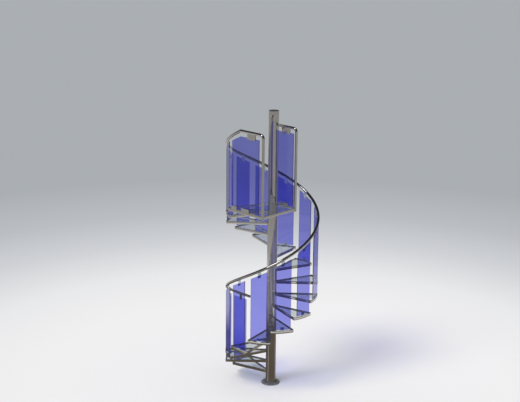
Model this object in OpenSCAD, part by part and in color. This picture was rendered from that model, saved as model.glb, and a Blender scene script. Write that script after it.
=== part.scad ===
// Spiral staircase: a centre column, fifteen glass treads in bent flat-bar frames, flat tinted glass
// panels under a helical tube handrail, and a square landing with two guards.
// Millimetres, Z up. The column stands on the origin and the stair climbs anticlockwise from above.

/* [Column] */
// outside diameter of the centre column
column_d = 165; // [140:1:200]
// wall of the column tube
column_wall = 6; // [4:0.5:10]
// top of the column above the landing's guard rails
column_over = 220; // [150:5:400]
// thickness of the cap that closes the column
cap_t = 6; // [4:1:12]

/* [Base flange] */
// diameter of the base flange
flange_d = 310; // [290:1:400]
// thickness of the base flange
flange_t = 12; // [8:1:25]
// pitch circle of the anchor holes
anchor_pcd = 250; // [230:1:260]
// diameter of each anchor hole
anchor_hole_d = 14; // [10:0.5:18]

/* [Steps] */
// height of one step
riser = 199; // [185:1:210]
// turn from one tread to the next, in degrees
step_angle = 29.7; // [29:0.1:31]
// direction of the first tread, in degrees
first_az = 135.5; // [90:0.5:180]
// radius of the tread's outer bar, to the bar's middle
tread_r = 749; // [690:1:790]
// half the angle between a tread's two legs, in degrees
leg_angle = 14.65; // [13.5:0.05:14.8]
// height of the flat bars of the treads and the landing
bar_h = 44.5; // [40:0.5:50]
// thickness of the flat bars
bar_t = 12; // [8:0.5:15]
// bend radius at the outer corners of a tread and of the landing, to the bar's middle
corner_bend = 16; // [14:0.5:30]

/* [Tread glass] */
// thickness of the tread and landing glass
floor_glass_t = 20; // [15:0.5:22]
// gap between a bar and the glass edge
glass_gap = 2; // [1:0.5:4]
// how far the glass lies below the tops of the bars
glass_drop = 2; // [1:0.5:4]
// gap between the column and the narrow end of the glass
nose_gap = 8; // [4:1:20]
// length of a glass seat along its bar
seat_w = 40; // [30:1:60]
// thickness of a glass seat
seat_t = 8; // [6:0.5:10]
// how far a seat reaches in under the glass
seat_reach = 22; // [15:1:30]

/* [Handrail] */
// diameter of the handrail, guard rails and posts
tube_d = 44.5; // [40:0.5:48]
// rail centre above the tread surface, at the tread's middle
rail_height = 1190; // [1000:5:1250]
// how far the rail's centre stands inside the middle of the treads' outer bars
rail_in = 9; // [6:0.5:12]
// how far the rail starts before the first tread's middle, in degrees
rail_lead = 15.8; // [12:0.1:20]

/* [Glass panels] */
// width of one panel
panel_w = 275; // [220:1:300]
// thickness of a panel
panel_t = 12; // [8:0.5:15]
// panel bottom above the top of the tread bar
panel_bottom_gap = 14; // [12:1:30]
// rail centre above the panel's top edge
panel_top_gap = 72; // [50:1:90]
// thickness of the plates that hold the panels
lug_t = 8; // [6:0.5:10]
// width of a foot angle on the tread bar
foot_w = 60; // [40:1:80]
// how far a foot angle laps the glass
foot_lap = 42; // [30:1:60]
// how far the lying leg of an angle stops from the face of its bar
foot_set = 2; // [1:0.5:4]
// width of a rail bracket
bracket_w = 52; // [40:1:70]
// how far a rail bracket laps the glass
bracket_lap = 42; // [30:1:60]

/* [Landing] */
// turn from the last tread to the landing's square side, in degrees
landing_lead = 35.1; // [33:0.1:37]
// landing surface above the last tread
landing_rise = 138; // [120:1:210]
// column axis to the landing's front bar
landing_front = 490; // [420:5:650]
// bend radius from a guard rail into its post
guard_bend = 58; // [48:1:80]
// foot of a post below the landing bar's centre
post_drop = 28; // [24:1:60]

/* [Landing guards] */
// thickness of the guard glass
guard_glass_t = 12; // [8:0.5:15]
// guard rail centre above the glass
guard_top_gap = 88; // [60:1:110]
// back end of the left pane, measured behind the rail's corner
pane_back = 183; // [160:1:185]
// front bar's centre to the left pane
left_pane_clear = 84; // [60:1:120]
// front bar's centre to the right pane
right_pane_clear = 55; // [45:1:90]
// column face to the right pane
column_pane_clear = 8; // [5:0.5:20]
// length of a guard plate
plate_w = 175; // [120:1:180]
// length of the short plate at the left pane's back end
short_plate_w = 120; // [90:1:130]
// how far a plate under a guard rail laps the glass
rail_plate_lap = 24; // [18:1:60]
// how far a plate on a landing bar laps the glass
bar_plate_lap = 46; // [30:1:60]
// thickness of a guard plate
plate_t = 12; // [8:0.5:16]
// front bar's centre to the middle of the left rail plate
left_top_plate_at = 243; // [220:1:300]
// front bar's centre to the middle of the left bar plate
left_low_plate_at = 372; // [330:1:400]
// front bar's centre to the middle of the right rail plate
right_top_plate_at = 210; // [190:1:260]
// front bar's centre to the middle of the right bar plate
right_low_plate_at = 235; // [190:1:260]

/* [Fits] */
// gap left for the weld where a tube or plate meets a round face
weld_gap = 0.2; // [0.1:0.05:0.4]
// gap between a rail bracket and the curved rail
bracket_gap = 0.5; // [0.4:0.05:0.7]
// how far a holding plate's edge stops from the middle of its rail
plate_stop = 4; // [2:0.5:6]

/* [Hidden] */
steps = 15;
rail_parts = 3;
anchor_count = 6;
ring_sides = 24;
ring_step = 4;
arc_sides = 240;
$fn = 64;

tube_r = tube_d / 2;
rail_r = tread_r - rail_in;
rise_per_degree = riser / step_angle;
rail_slope = rise_per_degree * 180 / (PI * rail_r);
rail_pitch_angle = atan(rail_slope);

// tread frame: the leg, the corner bend and the outer arc meet tangent to each other
corner_turn = asin(corner_bend / (tread_r - corner_bend));
leg_end = (tread_r - corner_bend) * cos(corner_turn);
arc_half = leg_angle - corner_turn;
arc_weld = weld_gap / 2 / tread_r * 180 / PI;
corner_at = (tread_r - corner_bend) * [cos(arc_half), sin(arc_half)];
glass_inset = bar_t / 2 + glass_gap;
glass_top = bar_h / 2 - glass_drop;
glass_low = glass_top - floor_glass_t;
nose_at = (column_d / 2 + nose_gap - glass_inset * sin(leg_angle)) / cos(leg_angle);
// a corner's seat runs past the weld gap but stops short of the bend's inner face
seat_back = seat_w / 2 - 0.6 * (corner_bend - bar_t / 2);

// panels: each flat pane splits its lean in and out over the curved bar
panel_x = (rail_r + sqrt(rail_r * rail_r - panel_w * panel_w / 4)) / 2;
lug_x = panel_x - panel_t / 2 - lug_t;

// landing: local x runs out to the left guard, local y to the front bar
landing_az = first_az + step_angle * (steps - 1) + landing_lead;
landing_z = steps * riser + landing_rise;
landing_bar_z = landing_z - bar_h / 2;
landing_side = rail_r;
back_angle = landing_lead - step_angle / 2;
back_turn = 90 + back_angle;
back_tangent = corner_bend * tan(back_turn / 2);
back_len = landing_side / cos(back_angle) - back_tangent;
back_corner = [
    back_len * cos(back_angle) + corner_bend * sin(back_angle),
    -back_len * sin(back_angle) + corner_bend * cos(back_angle)
];
left_len = landing_front - back_corner.y;
guard_z = rail_z(landing_az);
column_h = guard_z + column_over;
rail_start = first_az - rail_lead;

function two(k) = k < 10 ? str("0", k) : str(k);
function tread_az(k) = first_az + step_angle * (k - 1);
function bar_z(k) = k * riser - bar_h / 2;
function rail_z(az) = riser + rail_height + (az - first_az) * rise_per_degree;

// Column

module base_flange() {
    color("silver")
    difference() {
        cylinder(d = flange_d, h = flange_t);
        for (i = [0 : anchor_count - 1])
            rotate(i * 360 / anchor_count)
            translate([anchor_pcd / 2, 0, -1])
            cylinder(d = anchor_hole_d, h = flange_t + 2);
    }
}

module column() {
    color("silver")
    translate([0, 0, flange_t])
    difference() {
        cylinder(d = column_d, h = column_h - cap_t - flange_t);
        translate([0, 0, -1])
        cylinder(d = column_d - 2 * column_wall, h = column_h);
    }
}

module column_cap() {
    color("dimgray")
    translate([0, 0, column_h - cap_t])
    cylinder(d = column_d, h = cap_t);
}

// Treads

// a flat bar along +Y, standing on edge
module flat_bar(len) {
    translate([-bar_t / 2, 0, -bar_h / 2])
    cube([bar_t, len, bar_h]);
}

// a flat bar bent about the Z axis, from +X on
module bent_bar(r, angle) {
    rotate_extrude(angle = angle, $fn = arc_sides)
    translate([r - bar_t / 2, -bar_h / 2])
    square([bar_t, bar_h]);
}

// runs along X on the inner side of a bar, which is -Y
module glass_seat() {
    translate([-seat_w / 2, -bar_t / 2 - seat_reach, glass_low - seat_t])
    cube([seat_w, bar_t / 2 + seat_reach, seat_t]);
}

module column_cut() {
    cylinder(d = column_d + 2 * weld_gap, h = 4 * bar_h, center = true);
}

// the arc and the bend start from one joint; a weld gap parts the bend from the leg and the two arcs
// from each other, and a glass seat bridges each gap
module half_tread_frame() {
    rotate(arc_half) {
        mirror([0, 1, 0])
        bent_bar(tread_r, arc_half - arc_weld);
        translate([tread_r - corner_bend, 0, 0]) {
            bent_bar(corner_bend, 90 + corner_turn);
            rotate(90 + corner_turn)
            translate([corner_bend, weld_gap, 0])
            flat_bar(leg_end - column_d / 4 - weld_gap);
        }
    }
    for (at = [0.45 * leg_end, leg_end - seat_back])
        rotate(leg_angle)
        translate([at, 0, 0])
        glass_seat();
}

module tread_frame(k) {
    color("silver")
    translate([0, 0, bar_z(k)])
    rotate(tread_az(k)) {
        for (side = [0, 1])
            mirror([0, side, 0])
            difference() {
                half_tread_frame();
                column_cut();
            }
        translate([tread_r, 0, 0])
        rotate(-90)
        glass_seat();
    }
}

function leg_point(along) = [
    along * cos(leg_angle) + glass_inset * sin(leg_angle),
    along * sin(leg_angle) - glass_inset * cos(leg_angle)
];
function glass_half() = concat(
    [leg_point(nose_at)],
    [for (i = [0 : 6])
        let (a = leg_angle + 90 - i * (90 + corner_turn) / 6)
        corner_at + (corner_bend - glass_inset) * [cos(a), sin(a)]],
    [for (i = [1 : 4])
        let (a = arc_half * (1 - i / 5))
        (tread_r - glass_inset) * [cos(a), sin(a)]]
);
function mirrored(points) = [
    for (i = [len(points) - 1 : -1 : 0]) [points[i].x, -points[i].y]
];

module tread_glass() {
    color("lightsteelblue", 0.5)
    for (k = [1 : steps])
        translate([0, 0, bar_z(k) + glass_low])
        rotate(tread_az(k))
        linear_extrude(floor_glass_t)
        polygon(concat(glass_half(), [[tread_r - glass_inset, 0]], mirrored(glass_half())));
}

// Panels

module upright_sheet(x, thick, outline) {
    translate([x, 0, 0])
    rotate([90, 0, 90])
    linear_extrude(thick)
    polygon(outline);
}

function slanted(half, low, high, slope) = [
    [-half, low], [half, low], [half, high + slope * half], [-half, high - slope * half]
];

module panel(k) {
    az = tread_az(k);
    low = k * riser + panel_bottom_gap;
    color("mediumslateblue", 0.5)
    rotate(az)
    upright_sheet(panel_x - panel_t / 2, panel_t,
        slanted(panel_w / 2, low, rail_z(az) - panel_top_gap, rail_slope));
}

// each foot is an angle: one leg lies on the tread bar and one stands behind the pane
module panel_feet() {
    color("gainsboro")
    for (k = [1 : steps])
        rotate(tread_az(k))
        translate([lug_x, -foot_w / 2, k * riser]) {
            cube([tread_r + bar_t / 2 - foot_set - lug_x, foot_w, lug_t]);
            cube([lug_t, foot_w, panel_bottom_gap + foot_lap]);
        }
}

module rail_brackets() {
    half = bracket_w / 2;
    low = -panel_top_gap - bracket_lap;
    color("gainsboro")
    for (k = [1 : steps])
        rotate(tread_az(k))
        translate([0, 0, rail_z(tread_az(k))])
        difference() {
            upright_sheet(lug_x, lug_t, [
                [-half, low - rail_slope * half], [half, low + rail_slope * half],
                [half, rail_slope * half - plate_stop], [-half, -rail_slope * half - plate_stop]
            ]);
            translate([rail_r, 0, 0])
            rotate([rail_pitch_angle - 90, 0, 0])
            cylinder(d = tube_d + 2 * bracket_gap, h = 4 * bracket_w, center = true);
        }
}

// Handrail

function rail_point(az) = [rail_r * cos(az), rail_r * sin(az), rail_z(az)];
function rail_way(az) = [
    -sin(az) * cos(rail_pitch_angle), cos(az) * cos(rail_pitch_angle), sin(rail_pitch_angle)
];
function mitre_way(az) = [
    -sin(az) * cos(rail_pitch_angle / 2), cos(az) * cos(rail_pitch_angle / 2),
    sin(rail_pitch_angle / 2)
];
// at the landing the ring slides along the rail until it lies in the mitre plane
function ring_vertex(az, turn, mitred) =
    let (
        out = [cos(az), sin(az), 0],
        way = rail_way(az),
        side = cross(way, out),
        spoke = tube_r * (cos(turn) * out + sin(turn) * side),
        slide = mitred ? -(spoke * mitre_way(az)) / (way * mitre_way(az)) : 0
    )
    rail_point(az) + spoke + slide * way;

module rail_sweep(from, to, mitred) {
    rings = ceil((to - from) / ring_step);
    points = [
        for (i = [0 : rings])
        let (az = from + (to - from) * i / rings)
        for (j = [0 : ring_sides - 1])
        ring_vertex(az, j * 360 / ring_sides, mitred && i == rings)
    ];
    skin = [
        for (i = [0 : rings - 1])
        for (j = [0 : ring_sides - 1])
        let (next = (j + 1) % ring_sides, a = i * ring_sides, b = a + ring_sides)
        [a + j, a + next, b + next, b + j]
    ];
    first = [for (j = [ring_sides - 1 : -1 : 0]) j];
    last = [for (j = [0 : ring_sides - 1]) rings * ring_sides + j];
    polyhedron(points, concat(skin, [first, last]));
}

module handrail(k) {
    span = (landing_az - rail_start) / rail_parts;
    color("silver")
    rail_sweep(rail_start + span * (k - 1), rail_start + span * k, k == rail_parts);
}

// Landing

module at_landing() {
    rotate(landing_az)
    children();
}

module tube_along_y(x, z, from, to) {
    translate([x, from, z])
    rotate([-90, 0, 0])
    cylinder(d = tube_d, h = to - from);
}

module landing_posts(extra) {
    for (x = [0, landing_side])
        translate([x, landing_front, -2 * bar_h])
        cylinder(d = tube_d + 2 * extra, h = 4 * bar_h);
}

module landing_left_bar() {
    difference() {
        union() {
            translate([landing_side - corner_bend, back_corner.y, 0]) {
                translate([corner_bend, 0, 0])
                flat_bar(left_len);
                mirror([0, 1, 0])
                bent_bar(corner_bend, back_turn);
                rotate(-back_turn)
                translate([corner_bend, -weld_gap, 0])
                mirror([0, 1, 0])
                flat_bar(back_len - column_d / 4 - weld_gap);
            }
            for (share = [0.2, 0.75])
                translate([landing_side, back_corner.y + share * left_len, 0])
                rotate(-90)
                glass_seat();
            for (at = [0.4 * back_len, back_len - seat_back])
                rotate(-back_angle)
                translate([at, 0, 0])
                rotate(180)
                glass_seat();
        }
        column_cut();
        landing_posts(weld_gap);
    }
}

module landing_front_bar() {
    difference() {
        union() {
            translate([0, landing_front, 0])
            rotate(-90)
            flat_bar(landing_side);
            for (x = [0.25, 0.75])
                translate([landing_side * x, landing_front, 0])
                glass_seat();
        }
        landing_posts(weld_gap);
    }
}

module landing_right_bar() {
    difference() {
        union() {
            translate([0, column_d / 4, 0])
            flat_bar(landing_front - column_d / 4);
            translate([0, (column_d / 2 + landing_front) / 2, 0])
            rotate(90)
            glass_seat();
        }
        column_cut();
        landing_posts(weld_gap);
    }
}

module landing_frame() {
    color("silver")
    at_landing()
    translate([0, 0, landing_bar_z]) {
        landing_left_bar();
        landing_front_bar();
        landing_right_bar();
    }
}

function landing_outline() =
    let (
        column_r = column_d / 2 + 3 * glass_gap,
        spread = asin(glass_inset / column_r),
        left = landing_side - glass_inset,
        front = landing_front - glass_inset
    )
    concat(
        [for (i = [0 : 8])
            let (a = -back_angle - 90 + back_turn * i / 8)
            back_corner + (corner_bend - glass_inset) * [cos(a), sin(a)]],
        [[left, front], [glass_inset, front]],
        [for (i = [0 : 8])
            let (a = 90 - spread - i * (90 + back_angle - 2 * spread) / 8)
            column_r * [cos(a), sin(a)]]
    );

module landing_glass() {
    color("lightsteelblue", 0.5)
    at_landing()
    translate([0, 0, landing_bar_z])
    difference() {
        translate([0, 0, glass_low])
        linear_extrude(floor_glass_t)
        polygon(landing_outline());
        landing_posts(glass_gap);
    }
}

module guard_tube(x, from) {
    tube_along_y(x, guard_z, from, landing_front - guard_bend);
    translate([x, landing_front - guard_bend, guard_z - guard_bend])
    rotate([90, 0, 90])
    rotate_extrude(angle = 90)
    translate([guard_bend, 0])
    circle(d = tube_d);
    translate([x, landing_front, landing_bar_z - post_drop])
    cylinder(d = tube_d, h = guard_z - guard_bend - landing_bar_z + post_drop);
}

module landing_rail_left() {
    color("silver")
    at_landing()
    difference() {
        guard_tube(landing_side, -tube_d);
        translate([landing_side, 0, guard_z])
        rotate([rail_pitch_angle / 2, 0, 0])
        translate([-tube_d, -4 * tube_d, -2 * tube_d])
        cube([2 * tube_d, 4 * tube_d, 4 * tube_d]);
    }
}

module landing_rail_right() {
    color("silver")
    at_landing()
    difference() {
        guard_tube(0, column_d / 4);
        translate([0, 0, guard_z])
        cylinder(d = column_d + 2 * weld_gap, h = 4 * tube_d, center = true);
    }
}

// the panes and the landing bars share their outer face, where the plates lie
guard_face = bar_t / 2;
pane_low = landing_z + panel_bottom_gap;
pane_high = guard_z - guard_top_gap;

module guard_glass() {
    color("mediumslateblue", 0.5)
    at_landing() {
        upright_sheet(landing_side + guard_face - guard_glass_t, guard_glass_t, [
            [-pane_back, pane_low], [landing_front - left_pane_clear, pane_low],
            [landing_front - left_pane_clear, pane_high], [0, pane_high],
            [-pane_back, pane_high - rail_slope * pane_back]
        ]);
        upright_sheet(guard_face - guard_glass_t, guard_glass_t, [
            [column_d / 2 + column_pane_clear, pane_low],
            [landing_front - right_pane_clear, pane_low],
            [landing_front - right_pane_clear, pane_high],
            [column_d / 2 + column_pane_clear, pane_high]
        ]);
    }
}

module rail_plate(x, at) {
    upright_sheet(x + guard_face, plate_t, [
        [at - plate_w / 2, pane_high - rail_plate_lap], [at + plate_w / 2, pane_high - rail_plate_lap],
        [at + plate_w / 2, guard_z - plate_stop], [at - plate_w / 2, guard_z - plate_stop]
    ]);
}

// a plate on a landing bar is an angle too: one leg lies on the bar and one stands in front of the pane
module bar_plate(x, at, w) {
    sole = guard_face + bar_t / 2 - foot_set;
    translate([x + guard_face - sole, at - w / 2, landing_z]) {
        cube([sole + plate_t, w, lug_t]);
        translate([sole, 0, 0])
        cube([plate_t, w, panel_bottom_gap + bar_plate_lap]);
    }
}

module guard_plates() {
    color("gainsboro")
    at_landing() {
        difference() {
            union() {
                rail_plate(landing_side, landing_front - left_top_plate_at);
                rail_plate(0, landing_front - right_top_plate_at);
            }
            for (x = [0, landing_side])
                translate([x, -landing_front, guard_z])
                rotate([-90, 0, 0])
                cylinder(d = tube_d + 2 * weld_gap, h = 3 * landing_front);
        }
        bar_plate(landing_side, landing_front - left_low_plate_at, plate_w);
        bar_plate(landing_side, short_plate_w / 2 - pane_back, short_plate_w);
        bar_plate(0, landing_front - right_low_plate_at, plate_w);
    }
}

base_flange();
column();
column_cap();
for (k = [1 : steps])
    tread_frame(k);
tread_glass();
for (k = [1 : steps])
    panel(k);
panel_feet();
rail_brackets();
for (k = [1 : rail_parts])
    handrail(k);
landing_frame();
landing_glass();
landing_rail_left();
landing_rail_right();
guard_glass();
guard_plates();
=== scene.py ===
"""Looks of the spiral staircase: materials, glass, bars, welds, bolts, floor, light and camera.

Lengths are in metres, +Z is up, and the column stands on the Z axis.
"""

import math

import bpy
from mathutils import Matrix, Vector


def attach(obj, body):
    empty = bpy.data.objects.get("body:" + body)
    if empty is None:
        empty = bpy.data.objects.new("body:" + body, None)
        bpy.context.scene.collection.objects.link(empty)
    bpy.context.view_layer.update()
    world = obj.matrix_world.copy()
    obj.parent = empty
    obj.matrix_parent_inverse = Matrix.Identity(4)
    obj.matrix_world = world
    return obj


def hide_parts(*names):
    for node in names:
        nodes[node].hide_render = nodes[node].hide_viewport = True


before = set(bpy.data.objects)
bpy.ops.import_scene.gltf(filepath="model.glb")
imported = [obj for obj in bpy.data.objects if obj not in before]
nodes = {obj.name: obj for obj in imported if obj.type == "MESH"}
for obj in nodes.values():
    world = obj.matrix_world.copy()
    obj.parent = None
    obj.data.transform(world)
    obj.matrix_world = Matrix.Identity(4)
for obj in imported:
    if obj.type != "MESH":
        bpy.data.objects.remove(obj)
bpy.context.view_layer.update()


# Column and flange; all sizes of the part are as in its source
COLUMN_R = 0.0825
FLANGE_T = 0.012
ANCHOR_R = 0.125
ANCHOR_COUNT = 6

# Treads and their glass
STEPS = 15
RISER = 0.199
STEP_ANGLE = math.radians(29.7)
FIRST_AZ = math.radians(135.5)
TREAD_R = 0.749
LEG_ANGLE = math.radians(14.65)
BAR_H = 0.0445
BAR_T = 0.012
CORNER_BEND = 0.016
SEAT_W = 0.04
SEAT_T = 0.008
SEAT_REACH = 0.022
FLOOR_GLASS_T = 0.02
GLASS_GAP = 0.002
GLASS_DROP = 0.002
NOSE_GAP = 0.008

# Handrail
TUBE_R = 0.02225
RAIL_IN = 0.009
RAIL_HEIGHT = 1.19
RAIL_LEAD = math.radians(15.8)
RAIL_PARTS = 3

# Panels, with their feet and brackets
PANEL_W = 0.275
PANEL_T = 0.012
PANEL_LOW_GAP = 0.014
PANEL_TOP_GAP = 0.072
LUG_T = 0.008
FOOT_W = 0.06
FOOT_LAP = 0.042
FOOT_SET = 0.002
BRACKET_W = 0.052
BRACKET_LAP = 0.042
PLATE_STOP = 0.004

# Landing and its guards
LANDING_LEAD = math.radians(35.1)
LANDING_RISE = 0.138
LANDING_FRONT = 0.49
GUARD_GLASS_T = 0.012
GUARD_TOP_GAP = 0.088
PANE_BACK = 0.183
LEFT_PANE_CLEAR = 0.084
RIGHT_PANE_CLEAR = 0.055
COLUMN_PANE_CLEAR = 0.008
PLATE_T = 0.012
PLATE_W = 0.175
SHORT_PLATE_W = 0.12
RAIL_PLATE_LAP = 0.024
BAR_PLATE_LAP = 0.046
LEFT_TOP_PLATE_AT = 0.243
LEFT_LOW_PLATE_AT = 0.372
RIGHT_TOP_PLATE_AT = 0.21
RIGHT_LOW_PLATE_AT = 0.235

# Sizes and places that follow from these
TREADS = range(1, STEPS + 1)
RAIL_R = TREAD_R - RAIL_IN
RISE_PER_RADIAN = RISER / STEP_ANGLE
RAIL_PITCH = math.atan(RISE_PER_RADIAN / RAIL_R)
RAIL_SLOPE = math.tan(RAIL_PITCH)
RAIL_START = FIRST_AZ - RAIL_LEAD
CORNER_TURN = math.asin(CORNER_BEND / (TREAD_R - CORNER_BEND))
LEG_END = (TREAD_R - CORNER_BEND) * math.cos(CORNER_TURN)
ARC_HALF = LEG_ANGLE - CORNER_TURN
GLASS_INSET = BAR_T / 2 + GLASS_GAP
GLASS_LOW = BAR_H / 2 - GLASS_DROP - FLOOR_GLASS_T
PANEL_X = (RAIL_R + math.sqrt(RAIL_R ** 2 - PANEL_W ** 2 / 4)) / 2
PANEL_FACE = PANEL_X + PANEL_T / 2
LUG_FACE = PANEL_X - PANEL_T / 2 - LUG_T
LANDING_AZ = FIRST_AZ + STEP_ANGLE * (STEPS - 1) + LANDING_LEAD
LANDING_Z = STEPS * RISER + LANDING_RISE
LANDING_BAR_Z = LANDING_Z - BAR_H / 2
BACK_ANGLE = LANDING_LEAD - STEP_ANGLE / 2
BACK_TURN = math.pi / 2 + BACK_ANGLE
BACK_LEN = RAIL_R / math.cos(BACK_ANGLE) - CORNER_BEND * math.tan(BACK_TURN / 2)

UP = Vector((0, 0, 1))


def tread_az(k):
    return FIRST_AZ + STEP_ANGLE * (k - 1)


def bar_z(k):
    return k * RISER - BAR_H / 2


def rail_z(az):
    return RISER + RAIL_HEIGHT + (az - FIRST_AZ) * RISE_PER_RADIAN


def out_way(az):
    return Vector((math.cos(az), math.sin(az), 0))


def side_way(az):
    return Vector((-math.sin(az), math.cos(az), 0))


def rail_point(az):
    return RAIL_R * out_way(az) + rail_z(az) * UP


def rail_way(az, pitch=RAIL_PITCH):
    """The way up along the rail, or along another pitch."""
    return side_way(az) * math.cos(pitch) + UP * math.sin(pitch)


def turns(count):
    """Evenly spaced angles round a full turn."""
    return [2 * math.pi * i / count for i in range(count)]


GUARD_Z = rail_z(LANDING_AZ)
PANE_LOW = LANDING_Z + PANEL_LOW_GAP
PANE_HIGH = GUARD_Z - GUARD_TOP_GAP


# Shader nodes

# noise values that stand for the two ends of a blend of colours and of a spread of roughness
TONE_SPAN = (0.35, 0.65)
ROUGH_SPAN = (0.3, 0.7)


def empty_tree(owner):
    """The node tree of a material or a world, with nothing in it yet."""
    owner.use_nodes = True
    owner.node_tree.nodes.clear()
    return owner.node_tree


def new_material(name):
    material = bpy.data.materials.new(name)
    return material, empty_tree(material)


def add_node(tree, kind, inputs=None, **settings):
    made = tree.nodes.new(kind)
    for key, value in settings.items():
        setattr(made, key, value)
    for key, value in (inputs or {}).items():
        made.inputs[key].default_value = value
    return made


def noise(tree, scale, detail, stretch=None):
    """Cloudy values fixed to the object, drawn out along an axis where its stretch is small."""
    place = add_node(tree, "ShaderNodeTexCoord")
    made = add_node(tree, "ShaderNodeTexNoise", {"Scale": scale, "Detail": detail})
    if stretch:
        mapping = add_node(tree, "ShaderNodeMapping", {"Scale": stretch})
        tree.links.new(place.outputs["Object"], mapping.inputs["Vector"])
        tree.links.new(mapping.outputs["Vector"], made.inputs["Vector"])
    else:
        tree.links.new(place.outputs["Object"], made.inputs["Vector"])
    return made.outputs["Fac"]


def colour_ramp(tree, factor, rows, reach=1.0):
    """A colour from (place, colour) rows; a factor of 1 stands for the place reach."""
    ramp = add_node(tree, "ShaderNodeValToRGB")
    stops = ramp.color_ramp.elements
    for index, (place, colour) in ((0, rows[0]), (1, rows[-1])):
        stops[index].position = place / reach
        stops[index].color = (*colour, 1)
    for place, colour in rows[1:-1]:
        stops.new(place / reach).color = (*colour, 1)
    tree.links.new(factor, ramp.inputs["Fac"])
    return ramp.outputs["Color"]


def two_tones(tree, factor, low, high):
    start, end = TONE_SPAN
    return colour_ramp(tree, factor, [(start, low), (end, high)])


def spread(tree, factor, low, high):
    start, end = ROUGH_SPAN
    made = add_node(tree, "ShaderNodeMapRange", {
        "From Min": start, "From Max": end, "To Min": low, "To Max": high})
    tree.links.new(factor, made.inputs["Value"])
    return made.outputs["Result"]


def bump(tree, factor, strength, distance):
    made = add_node(tree, "ShaderNodeBump", {"Strength": strength, "Distance": distance})
    tree.links.new(factor, made.inputs["Height"])
    return made.outputs["Normal"]


def glow(tree, colour):
    """A plain emission of the colour as it is."""
    made = add_node(tree, "ShaderNodeEmission", {"Strength": 1.0})
    tree.links.new(colour, made.inputs["Color"])
    return made.outputs["Emission"]


def mix_shaders(tree, factor, first, second):
    """The first shader where the factor is 0, and the second where it is 1 or more."""
    mix = add_node(tree, "ShaderNodeMixShader")
    tree.links.new(factor, mix.inputs["Fac"])
    tree.links.new(first, mix.inputs[1])
    tree.links.new(second, mix.inputs[2])
    return mix.outputs["Shader"]


def split_by_ray(tree, shader, others):
    """Swaps the shader on each named kind of ray, or after bounces of that kind; later kinds win."""
    path = add_node(tree, "ShaderNodeLightPath")
    for ray, other in others:
        shader = mix_shaders(tree, path.outputs[ray], shader, other)
    return shader


def finish_surface(tree, shader):
    end = add_node(tree, "ShaderNodeOutputMaterial")
    tree.links.new(shader, end.inputs["Surface"])


# Materials

# scale and detail of each noise
METAL_CLOUDS = (5.0, 4.0)
GLASS_CLOUDS = (1.6, 2.0)
GLASS_SMEARS = (22.0, 3.0)
GLASS_WAVES = (2.2, 1.0)
GRAIN_DETAIL = 4.0
# strength and depth of the bumps
GRAIN_BUMP = 0.08
FINE_BUMP = 0.04
GRAIN_DEPTH = 0.0004
WAVE_BUMP = 0.02
WAVE_DEPTH = 0.01
GLASS_IOR = 1.45


def metal(name, low, high, rough, grain, stretch=None, metallic=1.0, bump_strength=GRAIN_BUMP):
    """Metal with cloudy tone and a fine grain; at metallic 0 it is rubber."""
    material, tree = new_material(name)
    surface = add_node(tree, "ShaderNodeBsdfPrincipled", {"Metallic": metallic})
    clouds = noise(tree, *METAL_CLOUDS)
    tree.links.new(two_tones(tree, clouds, low, high), surface.inputs["Base Color"])
    grained = noise(tree, grain, GRAIN_DETAIL, stretch)
    tree.links.new(spread(tree, grained, *rough), surface.inputs["Roughness"])
    tree.links.new(bump(tree, grained, bump_strength, GRAIN_DEPTH), surface.inputs["Normal"])
    finish_surface(tree, surface.outputs["BSDF"])
    return material


def glass(name, low, high, shade, rough):
    """Clear or tinted glass; lamps shine through it as light of the colour shade."""
    material, tree = new_material(name)
    surface = add_node(tree, "ShaderNodeBsdfPrincipled", {
        "Transmission Weight": 1.0, "IOR": GLASS_IOR})
    clouds = noise(tree, *GLASS_CLOUDS)
    tree.links.new(two_tones(tree, clouds, low, high), surface.inputs["Base Color"])
    smears = noise(tree, *GLASS_SMEARS)
    tree.links.new(spread(tree, smears, *rough), surface.inputs["Roughness"])
    waves = noise(tree, *GLASS_WAVES)
    tree.links.new(bump(tree, waves, WAVE_BUMP, WAVE_DEPTH), surface.inputs["Normal"])
    through = add_node(tree, "ShaderNodeBsdfTransparent", {"Color": (*shade, 1)})
    shader = split_by_ray(tree, surface.outputs["BSDF"], (("Is Shadow Ray", through.outputs["BSDF"]),))
    finish_surface(tree, shader)
    return material


STEEL_LOW = (0.575, 0.550, 0.522)
STEEL_HIGH = (0.630, 0.604, 0.574)
POLISHED = metal(
    "polished_steel", STEEL_LOW, STEEL_HIGH,
    rough=(0.04, 0.10), grain=260.0, bump_strength=FINE_BUMP)
# painted shade: the handrail takes a darker copy of the polished steel, so that it reads as shaded
RAIL_SHADED_STEEL = metal(
    "handrail_steel_painted_shade", (0.449, 0.429, 0.407), (0.491, 0.471, 0.448),
    rough=(0.04, 0.10), grain=260.0, bump_strength=FINE_BUMP)
COLUMN_STEEL = metal(
    "column_steel", STEEL_LOW, STEEL_HIGH,
    rough=(0.03, 0.08), grain=240.0, stretch=(1.0, 1.0, 0.02), bump_strength=FINE_BUMP)
PLATE = metal(
    "plate_steel", (0.61, 0.586, 0.556), (0.66, 0.636, 0.604),
    rough=(0.08, 0.16), grain=420.0, bump_strength=FINE_BUMP)
# painted shade: a dark steel on the narrow edges of the guard plates, standing in for the shade on them
PLATE_EDGE_SHADE = metal(
    "plate_edge_painted_shade", (0.10, 0.098, 0.095), (0.15, 0.147, 0.142), rough=(0.25, 0.40), grain=420.0)
# pale clamp steel with a teal tint; the pale steel is its own colour, the teal tint is a painted
# reflection of the glass
CLAMP_TEAL_GLINT = metal(
    "clamp_steel_painted_teal_glint", (0.66, 0.735, 0.75), (0.73, 0.805, 0.82),
    rough=(0.18, 0.30), grain=420.0, metallic=0.55)
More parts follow.
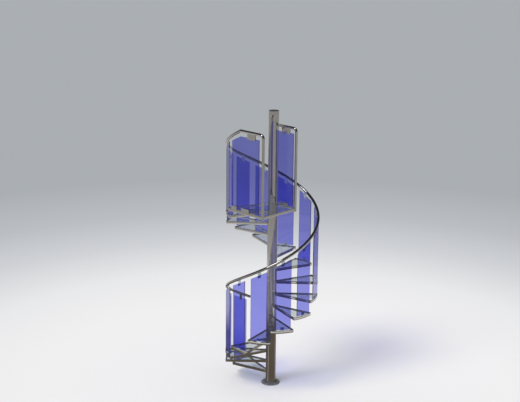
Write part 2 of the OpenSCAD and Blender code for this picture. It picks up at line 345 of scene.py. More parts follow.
# painted shade: a dark copy of the clamp steel, for the inner face of the lowest rail lug, which only
# lies in shade
CLAMP_PAINTED_SHADE = metal(
    "clamp_painted_shade", (0.065, 0.065, 0.070), (0.095, 0.095, 0.100), rough=(0.20, 0.32), grain=420.0)
FLANGE = metal(
    "flange_steel", (0.40, 0.385, 0.362), (0.46, 0.444, 0.420),
    rough=(0.32, 0.44), grain=300.0, metallic=0.66)
WELD = metal(
    "weld_steel", (0.36, 0.35, 0.33), (0.47, 0.46, 0.44), rough=(0.24, 0.42), grain=600.0)
DARK = metal(
    "dark_bolt_steel", (0.018, 0.018, 0.020), (0.040, 0.040, 0.044), rough=(0.30, 0.48), grain=500.0)
RUBBER = metal(
    "black_rubber", (0.012, 0.012, 0.013), (0.022, 0.022, 0.024),
    rough=(0.55, 0.75), grain=300.0, metallic=0.0)
VIOLET = glass(
    "violet_glass", (0.272, 0.282, 0.83), (0.292, 0.302, 0.86),
    shade=(0.53, 0.54, 0.92), rough=(0.0, 0.012))
VIOLET_EDGE = glass(
    "violet_glass_edge", (0.34, 0.35, 0.86), (0.40, 0.41, 0.90),
    shade=(0.6, 0.6, 0.94), rough=(0.10, 0.20))
CLEAR = glass(
    "clear_glass", (0.72, 0.77, 0.79), (0.77, 0.82, 0.84),
    shade=(0.86, 0.90, 0.91), rough=(0.0, 0.012))
CLEAR_EDGE = glass(
    "clear_glass_edge", (0.55, 0.68, 0.66), (0.62, 0.75, 0.72),
    shade=(0.8, 0.88, 0.87), rough=(0.10, 0.20))


# Dressing the CAD nodes

def dress(name, material):
    """Gives a node its finish, also where a finer piece replaces it further down."""
    made = nodes[name]
    made.data.materials.clear()
    made.data.materials.append(material)


for k in TREADS:
    dress(f"tread_frame_{k:02d}", POLISHED)
    dress(f"panel_{k:02d}", VIOLET)
for name in ("landing_frame", "landing_rail_left", "landing_rail_right",
             "handrail_1", "handrail_2", "handrail_3"):
    dress(name, POLISHED)
dress("base_flange", FLANGE)
for name in ("panel_feet", "rail_brackets"):
    dress(name, CLAMP_TEAL_GLINT)
dress("guard_plates", PLATE)
for name in ("tread_glass", "landing_glass"):
    dress(name, CLEAR)
dress("column", COLUMN_STEEL)
dress("column_cap", POLISHED)
dress("guard_glass", VIOLET)


# Mesh pieces

BAR_EDGE = 0.0016
EDGE_STEPS = 3
# a way with less than this across it is upright
UPRIGHT = 1e-3
# which of a piece's materials a face takes
FIRST = 0
SECOND = 1
# edges over this angle stay sharp, on bent bars and tubes and on flat sheets and bolts
BENT_SHARP = math.radians(40)
FLAT_SHARP = math.radians(30)


def inset(outline, distance):
    """The corners of an anticlockwise outline, moved in by one distance from both edges."""
    moved = []
    for i, corner in enumerate(outline):
        before = (corner - outline[i - 1]).normalized()
        after = (outline[(i + 1) % len(outline)] - corner).normalized()
        inward = [Vector((-way.y, way.x)) for way in (before, after)]
        moved.append(corner + distance * (inward[0] + inward[1]) / (1 + inward[0].dot(inward[1])))
    return moved


def rounded_section(width, height, radius):
    """An anticlockwise rectangle with rounded corners, about its own middle."""
    points = []
    for quarter, (u, v) in enumerate(((1, 1), (-1, 1), (-1, -1), (1, -1))):
        centre = Vector((u * (width / 2 - radius), v * (height / 2 - radius)))
        for i in range(EDGE_STEPS + 1):
            turn = (quarter + i / EDGE_STEPS) * math.pi / 2
            points.append(centre + radius * Vector((math.cos(turn), math.sin(turn))))
    return points


BAR_SECTION = rounded_section(BAR_T, BAR_H, BAR_EDGE)


class Shape:
    """Collects vertices and faces of one piece."""

    def __init__(self):
        self.points = []
        self.faces = []
        self.looks = []

    def face(self, corners, look=FIRST):
        self.faces.append(tuple(corners))
        self.looks.append(look)

    def ring(self, points):
        start = len(self.points)
        self.points.extend(points)
        return list(range(start, start + len(points)))

    def join(self, first, second, look=FIRST):
        count = len(first)
        for j in range(count):
            following = (j + 1) % count
            self.face((first[j], first[following], second[following], second[j]), look)

    def cap(self, ring, flipped=False, look=FIRST):
        self.face(reversed(ring) if flipped else ring, look)

    def tube(self, rings):
        """Joins rings of points in a row and closes both ends."""
        for first, second in zip(rings, rings[1:]):
            self.join(first, second)
        self.cap(rings[0], flipped=True)
        self.cap(rings[-1])

    def sheet(self, place, outline, thickness, arris, edge=FIRST, back=FIRST):
        """A flat sheet with ground edges: outline runs anticlockwise in the local XY of place."""
        inner = inset(outline, arris)
        rows = ((inner, 0.0), (outline, arris), (outline, thickness - arris), (inner, thickness))
        rings = [
            self.ring([place @ Vector((x, y, height)) for x, y in corners]) for corners, height in rows]
        for first, second in zip(rings, rings[1:]):
            self.join(first, second, edge)
        self.cap(rings[0], flipped=True, look=back)
        self.cap(rings[-1])

    def lathe(self, place, profile, sides):
        """Turns (radius, height, corners) rows, top first, about the local Z of place.

        A row with no corners is round, and its radius is otherwise half the width across flats.
        """
        rings = []
        for radius, height, corners in reversed(profile):
            points = []
            for turn in turns(sides):
                reach = radius
                if corners:
                    sector = 2 * math.pi / corners
                    reach = radius / math.cos(turn % sector - sector / 2)
                points.append(place @ Vector((reach * math.cos(turn), reach * math.sin(turn), height)))
            rings.append(self.ring(points))
        self.tube(rings)

    def bead(self, path, radius, sides):
        """A round bead along a closed path."""
        count = len(path)
        rings = []
        for i, point in enumerate(path):
            way = (path[(i + 1) % count] - path[i - 1]).normalized()
            across = way.cross(UP)
            if across.length < UPRIGHT:
                across = way.cross(Vector((1, 0, 0)))
            across.normalize()
            over = way.cross(across)
            rings.append(self.ring([
                point + radius * (math.cos(turn) * across + math.sin(turn) * over)
                for turn in turns(sides)]))
        for i in range(count):
            self.join(rings[i], rings[(i + 1) % count])

    def bar(self, place, path):
        """A flat bar on edge along a level path of (point, heading) pairs in the local XY of place."""
        rings = []
        for point, heading in path:
            left = Vector((-math.sin(heading), math.cos(heading), 0))
            middle = Vector((point.x, point.y, 0))
            rings.append(self.ring([place @ (middle + u * left + v * UP) for u, v in BAR_SECTION]))
        self.tube(rings)

    def finish(self, name, materials, sharp):
        """Makes the piece with its materials, smooth but sharp over the given angle, under the root."""
        mesh = bpy.data.meshes.new(name)
        mesh.from_pydata([tuple(p) for p in self.points], [], self.faces)
        for material in materials:
            mesh.materials.append(material)
        mesh.polygons.foreach_set("material_index", self.looks)
        mesh.update()
        mesh.shade_smooth()
        mesh.set_sharp_from_angle(angle=sharp)
        made = bpy.data.objects.new(name, mesh)
        bpy.context.scene.collection.objects.link(made)
        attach(made, "root")
        return made


# Places and outlines

def facing(origin, way):
    """A place whose local Z points along way."""
    return Matrix.Translation(origin) @ way.to_track_quat("Z", "Y").to_matrix().to_4x4()


def flat_place(az, height):
    """Local X runs out from the axis, local Z is up."""
    return Matrix.Translation(height * UP) @ Matrix.Rotation(az, 4, "Z")


def upright_place(az, x):
    """Local X runs along the side way, local Y is up, local Z runs out from x."""
    turn = Matrix((side_way(az), UP, out_way(az))).transposed()
    return Matrix.Translation(x * out_way(az)) @ turn.to_4x4()


def polar(radius, turn):
    return radius * Vector((math.cos(turn), math.sin(turn)))


def rectangle(x_low, x_high, y_low, y_high):
    corners = ((x_low, y_low), (x_high, y_low), (x_high, y_high), (x_low, y_high))
    return [Vector(corner) for corner in corners]


def slanted(width, low, high, low_slope):
    """An upright outline whose top runs along the rail; low and high are at its middle."""
    half = width / 2
    fall = half * low_slope
    rise = half * RAIL_SLOPE
    corners = ((-half, low - fall), (half, low + fall), (half, high + rise), (-half, high - rise))
    return [Vector(corner) for corner in corners]


# Helical handrail

RAIL_SIDES = 40
RAIL_RINGS = 300
RAIL_EDGE = 0.002
# how far the middle of the rounded edge lies in from both faces, as a share of the edge
RAIL_EDGE_SHARE = 0.3


def rail_ring(az, radius, mitred=False, slide=0.0):
    out = out_way(az)
    way = rail_way(az)
    mitre = rail_way(az, RAIL_PITCH / 2)
    side = way.cross(out)
    centre = rail_point(az) + slide * way
    points = []
    for turn in turns(RAIL_SIDES):
        spoke = radius * (math.cos(turn) * out + math.sin(turn) * side)
        if mitred:
            spoke -= way * (spoke.dot(mitre) / way.dot(mitre))
        points.append(centre + spoke)
    return points


def make_handrail():
    shape = Shape()
    mid_edge = RAIL_EDGE_SHARE * RAIL_EDGE
    rings = [
        shape.ring(rail_ring(RAIL_START, TUBE_R - RAIL_EDGE)),
        shape.ring(rail_ring(RAIL_START, TUBE_R - mid_edge, slide=mid_edge)),
    ]
    for i in range(RAIL_RINGS + 1):
        az = RAIL_START + (LANDING_AZ - RAIL_START) * i / RAIL_RINGS
        slide = RAIL_EDGE if i == 0 else 0.0
        rings.append(shape.ring(rail_ring(az, TUBE_R, i == RAIL_RINGS, slide)))
    shape.tube(rings)
    # the tube takes the darker handrail steel, which is painted shade
    made = shape.finish("handrail_tube", [RAIL_SHADED_STEEL], BENT_SHARP)
    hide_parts("handrail_1", "handrail_2", "handrail_3")


make_handrail()


# Glass

ARRIS = 0.0015
BEND_STEPS = 10
ARC_STEPS = 10
COLUMN_GLASS_GAP = 3 * GLASS_GAP


def back_corner():
    """Centre of the bend at the landing's back corner."""
    return polar(BACK_LEN, -BACK_ANGLE) + polar(CORNER_BEND, math.pi / 2 - BACK_ANGLE)


def tread_outline():
    start = (COLUMN_R + NOSE_GAP - GLASS_INSET * math.sin(LEG_ANGLE)) / math.cos(LEG_ANGLE)
    half = [polar(start, LEG_ANGLE) + polar(GLASS_INSET, LEG_ANGLE - math.pi / 2)]
    for i in range(BEND_STEPS + 1):
        turn = LEG_ANGLE + math.pi / 2 - i * (math.pi / 2 + CORNER_TURN) / BEND_STEPS
        half.append(polar(TREAD_R - CORNER_BEND, ARC_HALF) + polar(CORNER_BEND - GLASS_INSET, turn))
    for i in range(1, ARC_STEPS):
        half.append(polar(TREAD_R - GLASS_INSET, ARC_HALF * (1 - i / ARC_STEPS)))
    other = [Vector((point.x, -point.y)) for point in half]
    return other + [Vector((TREAD_R - GLASS_INSET, 0))] + list(reversed(half))


def post_notch(post, first, last):
    """The glass runs round a post, clockwise from one turn to another."""
    return [
        post + polar(TUBE_R + GLASS_GAP, first + (last - first) * i / BEND_STEPS)
        for i in range(BEND_STEPS + 1)]


def landing_outline():
    column_r = COLUMN_R + COLUMN_GLASS_GAP
    column_turn = math.asin(GLASS_INSET / column_r)
    post_turn = math.asin(GLASS_INSET / (TUBE_R + GLASS_GAP))
    points = []
    for i in range(BEND_STEPS + 1):
        turn = -BACK_ANGLE - math.pi / 2 + BACK_TURN * i / BEND_STEPS
        points.append(back_corner() + polar(CORNER_BEND - GLASS_INSET, turn))
    points += post_notch(
        Vector((RAIL_R, LANDING_FRONT)), 1.5 * math.pi - post_turn, math.pi + post_turn)
    points += post_notch(
        Vector((0, LANDING_FRONT)), 2 * math.pi - post_turn, 1.5 * math.pi + post_turn)
    for i in range(2 * BEND_STEPS + 1):
        turn = math.pi / 2 - column_turn - i * (BACK_TURN - 2 * column_turn) / (2 * BEND_STEPS)
        points.append(polar(column_r, turn))
    return points


def make_panes():
    for k in TREADS:
        az = tread_az(k)
        low = k * RISER + PANEL_LOW_GAP
        high = rail_z(az) - PANEL_TOP_GAP
        pane = Shape()
        pane.sheet(
            upright_place(az, PANEL_X - PANEL_T / 2), slanted(PANEL_W, low, high, low_slope=0.0),
            PANEL_T, ARRIS, edge=SECOND)
        made = pane.finish(f"pane_{k:02d}", [VIOLET, VIOLET_EDGE], FLAT_SHARP)
        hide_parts(f"panel_{k:02d}")


def make_tread_glass():
    treads = Shape()
    for k in TREADS:
        place = flat_place(tread_az(k), bar_z(k) + GLASS_LOW)
        treads.sheet(place, tread_outline(), FLOOR_GLASS_T, ARRIS, edge=SECOND)
    made = treads.finish("tread_plates", [CLEAR, CLEAR_EDGE], FLAT_SHARP)
    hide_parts("tread_glass")


def make_landing_glass():
    floor = Shape()
    place = flat_place(LANDING_AZ, LANDING_BAR_Z + GLASS_LOW)
    floor.sheet(place, landing_outline(), FLOOR_GLASS_T, ARRIS, edge=SECOND)
    made = floor.finish("landing_plate", [CLEAR, CLEAR_EDGE], FLAT_SHARP)
    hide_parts("landing_glass")


def make_guard_glass():
    left_end = LANDING_FRONT - LEFT_PANE_CLEAR
    left = [
        Vector((-PANE_BACK, PANE_LOW)), Vector((left_end, PANE_LOW)), Vector((left_end, PANE_HIGH)),
        Vector((0, PANE_HIGH)), Vector((-PANE_BACK, PANE_HIGH - PANE_BACK * RAIL_SLOPE)),
    ]
    right = rectangle(
        COLUMN_R + COLUMN_PANE_CLEAR, LANDING_FRONT - RIGHT_PANE_CLEAR, PANE_LOW, PANE_HIGH)
    guards = Shape()
    for x, outline in ((RAIL_R, left), (0.0, right)):
        place = upright_place(LANDING_AZ, x - GUARD_GLASS_T / 2)
        guards.sheet(place, outline, GUARD_GLASS_T, ARRIS, edge=SECOND)
    made = guards.finish("guard_panes", [VIOLET, VIOLET_EDGE], FLAT_SHARP)
    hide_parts("guard_glass")


make_panes()
make_tread_glass()
make_landing_glass()
make_guard_glass()


# Flat bars

SEAT_EDGE = 0.001
SEAT_Z = GLASS_LOW - SEAT_T
SEAT_IN = BAR_T / 2 + SEAT_REACH
# how far a seat at a bend reaches into the bend, as a share of its inner radius
SEAT_BEND_SHARE = 0.6
SEAT_BACK = SEAT_W / 2 - SEAT_BEND_SHARE * (CORNER_BEND - BAR_T / 2)
# places of seats as shares of the bar that carries them
LEG_SEAT_SHARE = 0.45
BACK_SEAT_SHARE = 0.4
LEFT_SEAT_SHARES = (0.2, 0.75)
FRONT_SEAT_SHARES = (0.25, 0.75)
COLUMN_END = math.sqrt(COLUMN_R ** 2 - BAR_T ** 2 / 4)
POST_END = math.sqrt(TUBE_R ** 2 - BAR_T ** 2 / 4)


def bend_path(centre, first, last):
    """A left turn about a centre, from one heading to another."""
    path = []
    for i in range(BEND_STEPS + 1):
        heading = first + (last - first) * i / BEND_STEPS
        path.append((centre + polar(CORNER_BEND, heading - math.pi / 2), heading))
    return path


def tread_path():
    first = polar(TREAD_R - CORNER_BEND, -ARC_HALF)
    second = polar(TREAD_R - CORNER_BEND, ARC_HALF)
    path = [(polar(COLUMN_END, -LEG_ANGLE), -LEG_ANGLE)]
    path += bend_path(first, -LEG_ANGLE, math.pi / 2 - ARC_HALF)
    for i in range(1, 2 * ARC_STEPS):
        turn = ARC_HALF * (i / ARC_STEPS - 1)
        path.append((polar(TREAD_R, turn), turn + math.pi / 2))
    path += bend_path(second, math.pi / 2 + ARC_HALF, math.pi + LEG_ANGLE)
    path.append((polar(COLUMN_END, LEG_ANGLE), math.pi + LEG_ANGLE))
    return path


def straight_path(start, end):
    heading = math.atan2(end.y - start.y, end.x - start.x)
    return [(start, heading), (end, heading)]


def make_tread_frames():
    half = SEAT_W / 2
    for k in TREADS:
        az = tread_az(k)
        tread = Shape()
        tread.bar(flat_place(az, bar_z(k)), tread_path())
        for x in (LEG_SEAT_SHARE * LEG_END, LEG_END - SEAT_BACK):
            for hand in (-1, 1):
                y_low, y_high = sorted((0, -hand * SEAT_IN))
                place = flat_place(az + hand * LEG_ANGLE, bar_z(k) + SEAT_Z)
                tread.sheet(place, rectangle(x - half, x + half, y_low, y_high), SEAT_T, SEAT_EDGE)
        place = flat_place(az, bar_z(k) + SEAT_Z)
        tread.sheet(place, rectangle(TREAD_R - SEAT_IN, TREAD_R, -half, half), SEAT_T, SEAT_EDGE)
        made = tread.finish(f"tread_bar_{k:02d}", [POLISHED], BENT_SHARP)
        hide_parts(f"tread_frame_{k:02d}")


def landing_seats():
    """Outlines of the seats on the landing's right, left and front bars."""
    half = SEAT_W / 2
    right_y = (COLUMN_R + LANDING_FRONT) / 2
    outlines = [rectangle(0, SEAT_IN, right_y - half, right_y + half)]
    back_y = back_corner().y
    for share in LEFT_SEAT_SHARES:
        y = back_y + share * (LANDING_FRONT - back_y)
        outlines.append(rectangle(RAIL_R - SEAT_IN, RAIL_R, y - half, y + half))
    for share in FRONT_SEAT_SHARES:
        x = share * RAIL_R
        outlines.append(rectangle(x - half, x + half, LANDING_FRONT - SEAT_IN, LANDING_FRONT))
    return outlines


def make_landing_frame():
    landing = Shape()
    place = flat_place(LANDING_AZ, LANDING_BAR_Z)
    left_path = [(polar(COLUMN_END, -BACK_ANGLE), -BACK_ANGLE)]
    left_path += bend_path(back_corner(), -BACK_ANGLE, math.pi / 2)
    left_path.append((Vector((RAIL_R, LANDING_FRONT - POST_END)), math.pi / 2))
    landing.bar(place, left_path)
    landing.bar(place, straight_path(
        Vector((POST_END, LANDING_FRONT)), Vector((RAIL_R - POST_END, LANDING_FRONT))))
    landing.bar(place, straight_path(Vector((0, COLUMN_END)), Vector((0, LANDING_FRONT - POST_END))))
    seat_place = flat_place(LANDING_AZ, LANDING_BAR_Z + SEAT_Z)
    for outline in landing_seats():
        landing.sheet(seat_place, outline, SEAT_T, SEAT_EDGE)
    back_place = flat_place(LANDING_AZ - BACK_ANGLE, LANDING_BAR_Z + SEAT_Z)
    half = SEAT_W / 2
    for x in (BACK_SEAT_SHARE * BACK_LEN, BACK_LEN - SEAT_BACK):
        landing.sheet(back_place, rectangle(x - half, x + half, 0, SEAT_IN), SEAT_T, SEAT_EDGE)
    made = landing.finish("landing_bars", [POLISHED], BENT_SHARP)
    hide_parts("landing_frame")


make_tread_frames()
make_landing_frame()


# Angles and plates that hold the glass

HOLDER_EDGE = 0.0007
LINER_T = 0.0003


def guard_plate_rows():
    """Each guard plate as (pane's x, middle, length, hung from the rail)."""
    return [
        (RAIL_R, LANDING_FRONT - LEFT_TOP_PLATE_AT, PLATE_W, True),
        (RAIL_R, LANDING_FRONT - LEFT_LOW_PLATE_AT, PLATE_W, False),
        (RAIL_R, SHORT_PLATE_W / 2 - PANE_BACK, SHORT_PLATE_W, False),
        (0.0, LANDING_FRONT - RIGHT_TOP_PLATE_AT, PLATE_W, True),
        (0.0, LANDING_FRONT - RIGHT_LOW_PLATE_AT, PLATE_W, False),
    ]


def make_feet():
    feet = Shape()
    half = FOOT_W / 2
    for k in TREADS:
        az = tread_az(k)
        low = k * RISER
        feet.sheet(
            upright_place(az, LUG_FACE), rectangle(-half, half, low, low + PANEL_LOW_GAP + FOOT_LAP),
            LUG_T - LINER_T, HOLDER_EDGE)
        feet.sheet(
            flat_place(az, low),
            rectangle(LUG_FACE + HOLDER_EDGE, TREAD_R + BAR_T / 2 - FOOT_SET, -half, half),
            LUG_T, HOLDER_EDGE)
    made = feet.finish("foot_angles", [CLAMP_TEAL_GLINT], FLAT_SHARP)
    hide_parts("panel_feet")


def make_brackets():
    """Lugs under the rail; the lowest one's inner face takes painted shade, a dark steel."""
    brackets = Shape()
    for k in TREADS:
        az = tread_az(k)
        low = rail_z(az) - PANEL_TOP_GAP - BRACKET_LAP
        high = rail_z(az) - PLATE_STOP
        # the lowest lug's inner face takes the painted shade
        brackets.sheet(
            upright_place(az, LUG_FACE), slanted(BRACKET_W, low, high, low_slope=RAIL_SLOPE),
            LUG_T - LINER_T, HOLDER_EDGE, back=SECOND if k == TREADS[0] else FIRST)
    made = brackets.finish("rail_lugs", [CLAMP_TEAL_GLINT, CLAMP_PAINTED_SHADE], FLAT_SHARP)
    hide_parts("rail_brackets")


def make_guard_plates():
    plates = Shape()
    for x, middle, length, hung in guard_plate_rows():
        start = middle - length / 2
        end = middle + length / 2
        low = PANE_HIGH - RAIL_PLATE_LAP if hung else LANDING_Z
        high = GUARD_Z - PLATE_STOP if hung else PANE_LOW + BAR_PLATE_LAP
        # the plates' narrow edges take the painted shade
        plates.sheet(
            upright_place(LANDING_AZ, x + BAR_T / 2 + LINER_T), rectangle(start, end, low, high),
            PLATE_T - LINER_T, HOLDER_EDGE, edge=SECOND)
        if not hung:
            inner = x - BAR_T / 2 + FOOT_SET
            outer = x + BAR_T / 2 + PLATE_T - HOLDER_EDGE
            plates.sheet(
                flat_place(LANDING_AZ, LANDING_Z), rectangle(inner, outer, start, end),
                LUG_T, HOLDER_EDGE)
    made = plates.finish("guard_holders", [PLATE, PLATE_EDGE_SHADE], FLAT_SHARP)
    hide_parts("guard_plates")


make_feet()
make_brackets()
make_guard_plates()


# Welds

BEAD_R = 0.0035
POST_BEAD_R = 0.7 * BEAD_R
BASE_BEAD_R = 1.2 * BEAD_R
BASE_BEAD_SET = 0.001
BEAD_STEPS = 40
BASE_BEAD_STEPS = 96
BEAD_SIDES = 8
SEAM_R = 0.0011
SEAM_STEPS = 36
SEAM_SIDES = 6


def column_seam(way, side, height):
    """Where a level rail tube meets the column."""
    path = []
    for turn in turns(BEAD_STEPS):
        across = TUBE_R * math.cos(turn)
        along = math.sqrt(COLUMN_R ** 2 - across ** 2)
        path.append(along * way + across * side + (height + TUBE_R * math.sin(turn)) * UP)
    return path


def bar_seam(axis, radius, way, height):
    """Where a flat bar that runs along way meets an upright round."""
    side = UP.cross(way)
    path = []
    for corner in BAR_SECTION:
        along = math.sqrt(radius ** 2 - corner.x ** 2)
        path.append(axis + along * way + corner.x * side + (height + corner.y) * UP)
    return path


def base_seam():
    """Where the column meets the flange."""
    reach = COLUMN_R + BASE_BEAD_SET
    height = FLANGE_T + BASE_BEAD_SET
    return [reach * out_way(turn) + height * UP for turn in turns(BASE_BEAD_STEPS)]


def tube_seam(centre, way):
    """A ground weld around a tube."""
    side = way.cross(UP).normalized()
    over = side.cross(way)
    return [
        centre + TUBE_R * (math.cos(turn) * side + math.sin(turn) * over) for turn in turns(SEAM_STEPS)]


def make_beads():
    beads = Shape()
    axis = Vector((0, 0, 0))
    for k in TREADS:
        for hand in (-1, 1):
            way = out_way(tread_az(k) + hand * LEG_ANGLE)
            beads.bead(bar_seam(axis, COLUMN_R, way, bar_z(k)), BEAD_R, BEAD_SIDES)
    front = side_way(LANDING_AZ)
    left = out_way(LANDING_AZ)
    right_post = LANDING_FRONT * front
    left_post = right_post + RAIL_R * left
    for way in (front, out_way(LANDING_AZ - BACK_ANGLE)):
        beads.bead(bar_seam(axis, COLUMN_R, way, LANDING_BAR_Z), BEAD_R, BEAD_SIDES)
    for post, inward in ((right_post, left), (left_post, -left)):
        for way in (-front, inward):
            beads.bead(bar_seam(post, TUBE_R, way, LANDING_BAR_Z), POST_BEAD_R, BEAD_SIDES)
    beads.bead(column_seam(front, left, GUARD_Z), BEAD_R, BEAD_SIDES)
    beads.bead(base_seam(), BASE_BEAD_R, BEAD_SIDES)
    beads.finish("weld_beads", [WELD], BENT_SHARP)


def make_rail_seams():
    seams = Shape()
    rail_turn = (LANDING_AZ - RAIL_START) / RAIL_PARTS
    for part in range(1, RAIL_PARTS):
        az = RAIL_START + rail_turn * part
        seams.bead(tube_seam(rail_point(az), rail_way(az)), SEAM_R, SEAM_SIDES)
    seams.finish("ground_seams", [POLISHED], BENT_SHARP)


make_beads()
make_rail_seams()


# Bolts

HEAD_SIDES = 36
HEX = 6
TIP_R = 0.0001
DOME_STEPS = 5
HEAD_EDGE = 0.0005
WASHER_T = 0.002
# panel bolt: a button head with a six-sided socket, on a washer
BUTTON_R = 0.0068
BUTTON_RIM = 0.0007
BUTTON_RISE = 0.0041
BUTTON_TOP_R = 0.0034
SOCKET_R = 0.0022
SOCKET_LOW = 0.0024
SOCKET_MOUTH_R = 0.0024
SOCKET_MOUTH = 0.0045
WASHER_R = 0.0081
# dome nut behind it
NUT_R = 0.0074
NUT_H = 0.0052
NUT_DOME_R = 0.006
NUT_DOME_LOW = 0.0056
NUT_DOME_RISE = 0.0052
# anchor in the flange: a stud through a nut on a washer
STUD_R = 0.0058
STUD_TOP = 0.017
STUD_EDGE = 0.001
ANCHOR_NUT_R = 0.0095
ANCHOR_NUT_TOP = 0.011
ANCHOR_WASHER_R = 0.0132
# places of the bolts, from the ends of a panel, and from a guard plate's middle as a share of its length
TOP_BOLT_DROP = 0.026
LOW_BOLT_RISE = 0.022
GUARD_BOLT_SHARE = 0.3


def dome_rows(radius, low, rise, top_r):
    """Rows of a rounded top, from the radius top_r out to its rim."""
    first = math.asin(top_r / radius)
    rows = []
    for i in range(DOME_STEPS + 1):
        turn = first + (math.pi / 2 - first) * i / DOME_STEPS
        rows.append((radius * math.sin(turn), low + rise * math.cos(turn), 0))
    return rows


def disc_rows(radius, low, high, edge, corners=0):
    """Rows of a disc, or of a block with corners, with a chamfered top."""
    return [(radius - edge, high, corners), (radius, high - edge, corners), (radius, low, corners)]


BUTTON = [
    (TIP_R, SOCKET_LOW, 0), (SOCKET_R, SOCKET_LOW, HEX), (SOCKET_MOUTH_R, SOCKET_MOUTH, HEX),
    *dome_rows(BUTTON_R, BUTTON_RIM, BUTTON_RISE, BUTTON_TOP_R), (BUTTON_R, 0.0, 0),
]
WASHER = disc_rows(WASHER_R, 0.0, WASHER_T, HEAD_EDGE)
DOME_NUT = [
    *dome_rows(NUT_DOME_R, NUT_DOME_LOW, NUT_DOME_RISE, TIP_R),
    *disc_rows(NUT_R, 0.0, NUT_H, HEAD_EDGE, HEX),
]
ANCHOR_NUT = [
    (TIP_R, STUD_TOP, 0),
    *disc_rows(STUD_R, ANCHOR_NUT_TOP, STUD_TOP, STUD_EDGE),
    *disc_rows(ANCHOR_NUT_R, WASHER_T, ANCHOR_NUT_TOP, HEAD_EDGE, HEX),
    *disc_rows(ANCHOR_WASHER_R, 0.0, WASHER_T, HEAD_EDGE),
]


def add_button(heads, washers, point, way):
    washers.lathe(facing(point, way), WASHER, HEAD_SIDES)
    heads.lathe(facing(point + WASHER_T * way, way), BUTTON, HEAD_SIDES)


def add_panel_bolts(heads, washers, nuts):
    for k in TREADS:
        az = tread_az(k)
        out = out_way(az)
        low = k * RISER + PANEL_LOW_GAP + LOW_BOLT_RISE
        high = rail_z(az) - PANEL_TOP_GAP - TOP_BOLT_DROP
        for height in (low, high):
            add_button(heads, washers, PANEL_FACE * out + height * UP, out)
            nuts.lathe(facing(LUG_FACE * out + height * UP, -out), DOME_NUT, HEAD_SIDES)


def add_guard_bolts(heads, washers):
    front = side_way(LANDING_AZ)
    left = out_way(LANDING_AZ)
    for x, middle, length, hung in guard_plate_rows():
        height = PANE_HIGH - RAIL_PLATE_LAP / 2 if hung else PANE_LOW + BAR_PLATE_LAP / 2
        for hand in (-1, 1):
            along = middle + hand * GUARD_BOLT_SHARE * length
            point = (x - GUARD_GLASS_T / 2) * left + along * front + height * UP
            add_button(heads, washers, point, -left)


def add_anchor_nuts(nuts):
    for turn in turns(ANCHOR_COUNT):
        point = ANCHOR_R * out_way(turn) + FLANGE_T * UP
        nuts.lathe(facing(point, UP), ANCHOR_NUT, HEAD_SIDES)


def make_bolts():
    heads = Shape()
    washers = Shape()
    nuts = Shape()
    add_panel_bolts(heads, washers, nuts)
    add_guard_bolts(heads, washers)
    add_anchor_nuts(nuts)
    heads.finish("panel_bolt_heads", [DARK], FLAT_SHARP)
    washers.finish("panel_bolt_washers", [RUBBER], FLAT_SHARP)
    nuts.finish("nuts", [CLAMP_TEAL_GLINT], FLAT_SHARP)


make_bolts()


# Floor

FLOOR_R = 140.0
FLOOR_SIDES = 96
FLOOR_Z = -0.0005
FLOOR_SMEARS = (3.0, 3.0)
FLOOR_ROUGH = (0.75, 0.9)
FAR_TONE = (0.40, 0.427, 0.45)
# distance from the column that the tones are ramped over
FLOOR_FADE = 20.0
# floor tone at each distance: a painted pool of light, pale round the column and greyer further out
FLOOR_LIGHT_POOL_TONES = [
    (4.0, (0.88, 0.88, 0.89)), (6.0, (0.81, 0.82, 0.835)), (8.2, (0.62, 0.64, 0.67)),
    (10.5, (0.49, 0.51, 0.54)), (14.0, FAR_TONE),
]
# floor tone that polished metal mirrors at each distance, away from and along the pale rays
MIRROR_FAR = (0.372, 0.370, 0.368)
MIRROR_TONES = [
    (2.8, (0.145, 0.124, 0.102)), (3.9, (0.84, 0.84, 0.84)), (5.4, (0.80, 0.80, 0.80)),
    (7.6, (0.46, 0.46, 0.46)), (10.5, MIRROR_FAR),
]
PALE_TONES = [
    (2.8, (0.44, 0.41, 0.37)), (3.9, (0.90, 0.90, 0.90)), (5.4, (0.84, 0.84, 0.84)),
    (7.6, (0.48, 0.48, 0.48)), (10.5, MIRROR_FAR),
]
# floor tone that metal mirrors through a pane at each distance
THROUGH_TONES = [
    (2.8, (0.220, 0.205, 0.190)), (5.4, (0.24, 0.235, 0.225)), (7.6, (0.44, 0.44, 0.44)),
    (10.5, MIRROR_FAR),
]
# directions of the pale rays as shares of a full turn from -X, and their half width
PALE_RAYS = (0.089, 0.556, 0.79)
PALE_RAY_HALF = 0.042
BLACK = (0, 0, 0)
WHITE = (1, 1, 1)


def pale_rays(tree, place):
    """White along the pale rays and black away from them."""
    around = add_node(tree, "ShaderNodeTexGradient", gradient_type="RADIAL")
    tree.links.new(place, around.inputs["Vector"])
    rows = [(0.0, BLACK)]
    for ray in PALE_RAYS:
        rows += [(ray - PALE_RAY_HALF, BLACK), (ray, WHITE), (ray + PALE_RAY_HALF, BLACK)]
    rows.append((1.0, BLACK))
    return colour_ramp(tree, around.outputs["Fac"], rows)


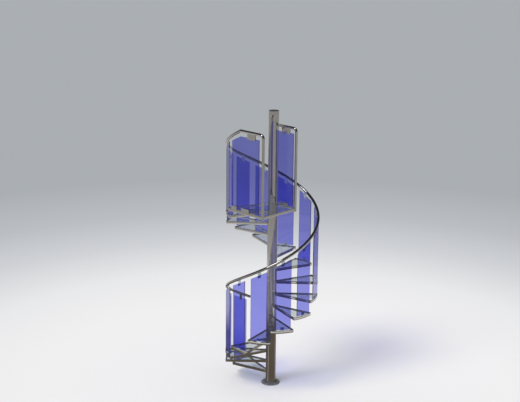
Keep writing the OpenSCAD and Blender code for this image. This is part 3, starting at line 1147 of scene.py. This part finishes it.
def floor_material():
    material, tree = new_material("pale_floor")
    place = add_node(tree, "ShaderNodeTexCoord").outputs["Object"]
    far = add_node(tree, "ShaderNodeVectorMath", operation="LENGTH")
    tree.links.new(place, far.inputs["Vector"])
    share = add_node(tree, "ShaderNodeMapRange", {"From Min": 0.0, "From Max": FLOOR_FADE})
    tree.links.new(far.outputs["Value"], share.inputs["Value"])

    def tones(rows):
        return colour_ramp(tree, share.outputs["Result"], rows, FLOOR_FADE)

    surface = add_node(tree, "ShaderNodeBsdfPrincipled", {"Specular IOR Level": 0.0})
    # the floor's base colour carries the painted pool of light
    tree.links.new(tones(FLOOR_LIGHT_POOL_TONES), surface.inputs["Base Color"])
    smears = noise(tree, *FLOOR_SMEARS)
    tree.links.new(spread(tree, smears, *FLOOR_ROUGH), surface.inputs["Roughness"])
    mirrored = mix_shaders(
        tree, pale_rays(tree, place), glow(tree, tones(MIRROR_TONES)), glow(tree, tones(PALE_TONES)))
    through = glow(tree, tones(THROUGH_TONES))
    reflected = split_by_ray(tree, mirrored, (("Is Transmission Ray", through),))
    shader = split_by_ray(tree, surface.outputs["BSDF"], (("Glossy Depth", reflected),))
    finish_surface(tree, shader)
    return material


def make_floor():
    points = [tuple(FLOOR_R * out_way(turn) + FLOOR_Z * UP) for turn in turns(FLOOR_SIDES)]
    mesh = bpy.data.meshes.new("floor")
    mesh.from_pydata(points, [], [tuple(range(FLOOR_SIDES))])
    mesh.update()
    mesh.materials.append(floor_material())
    made = bpy.data.objects.new("floor", mesh)
    bpy.context.scene.collection.objects.link(made)


make_floor()


# Light

FILL_TONE = (0.52, 0.52, 0.525)
# tone that metal mirrors above the floor, from level at 0 to straight up at 1
SKY_TONES = [
    (0.0, (0.34, 0.345, 0.35)), (0.12, (0.10, 0.102, 0.105)), (0.4, (0.05, 0.05, 0.052)),
    (1.0, (0.03, 0.03, 0.032)),
]
SUN_WAY = Vector((-0.62, -0.55, 1.0))
SUN_STRENGTH = 1.0
SUN_SOFTNESS = math.radians(24.0)
SUN_COLOUR = (1.0, 0.985, 0.965)


def plain_sky(tree, tone):
    made = add_node(tree, "ShaderNodeBackground", {"Color": (*tone, 1), "Strength": 1.0})
    return made.outputs["Background"]


def make_world():
    world = bpy.data.worlds.new("studio")
    bpy.context.scene.world = world
    tree = empty_tree(world)
    place = add_node(tree, "ShaderNodeTexCoord")
    split = add_node(tree, "ShaderNodeSeparateXYZ")
    tree.links.new(place.outputs["Generated"], split.inputs["Vector"])
    mirrored = add_node(tree, "ShaderNodeBackground", {"Strength": 1.0})
    tree.links.new(colour_ramp(tree, split.outputs["Z"], SKY_TONES), mirrored.inputs["Color"])
    seen = plain_sky(tree, FAR_TONE)
    fill = plain_sky(tree, FILL_TONE)
    shader = split_by_ray(tree, mirrored.outputs["Background"], (
        ("Is Diffuse Ray", fill), ("Is Camera Ray", seen), ("Is Transmission Ray", seen)))
    end = add_node(tree, "ShaderNodeOutputWorld")
    tree.links.new(shader, end.inputs["Surface"])


def add_sun(name, mirrored):
    data = bpy.data.lights.new(name, "SUN")
    data.energy = SUN_STRENGTH
    data.angle = SUN_SOFTNESS
    data.color = SUN_COLOUR
    made = bpy.data.objects.new(name, data)
    made.rotation_euler = SUN_WAY.to_track_quat("Z", "Y").to_euler()
    made.visible_glossy = mirrored
    bpy.context.scene.collection.objects.link(made)


make_world()
add_sun("key", False)
add_sun("glint", True)


# Camera

CAMERA_AT = (0.0, -19.805, 8.507)
CAMERA_PITCH = math.radians(15.153)
CAMERA_YAW = math.radians(0.5974)
CAMERA_ROLL = math.radians(-0.5986)
# lens and sensor are in millimetres
CAMERA_LENS = 88.06
CAMERA_SENSOR = 36.0
CAMERA_REACH = 500.0


def make_camera():
    data = bpy.data.cameras.new("camera")
    data.lens = CAMERA_LENS
    data.sensor_width = CAMERA_SENSOR
    data.sensor_fit = "HORIZONTAL"
    data.clip_end = CAMERA_REACH
    made = bpy.data.objects.new("camera", data)
    level = out_way(CAMERA_YAW)
    ahead = side_way(CAMERA_YAW)
    forward = math.cos(CAMERA_PITCH) * ahead - math.sin(CAMERA_PITCH) * UP
    upright = math.sin(CAMERA_PITCH) * ahead + math.cos(CAMERA_PITCH) * UP
    right = math.cos(CAMERA_ROLL) * level - math.sin(CAMERA_ROLL) * upright
    top = math.sin(CAMERA_ROLL) * level + math.cos(CAMERA_ROLL) * upright
    turn = Matrix((right, top, -forward)).transposed()
    made.matrix_world = Matrix.Translation(CAMERA_AT) @ turn.to_4x4()
    bpy.context.scene.collection.objects.link(made)
    bpy.context.scene.camera = made


make_camera()
bpy.context.scene.view_settings.view_transform = "Standard"
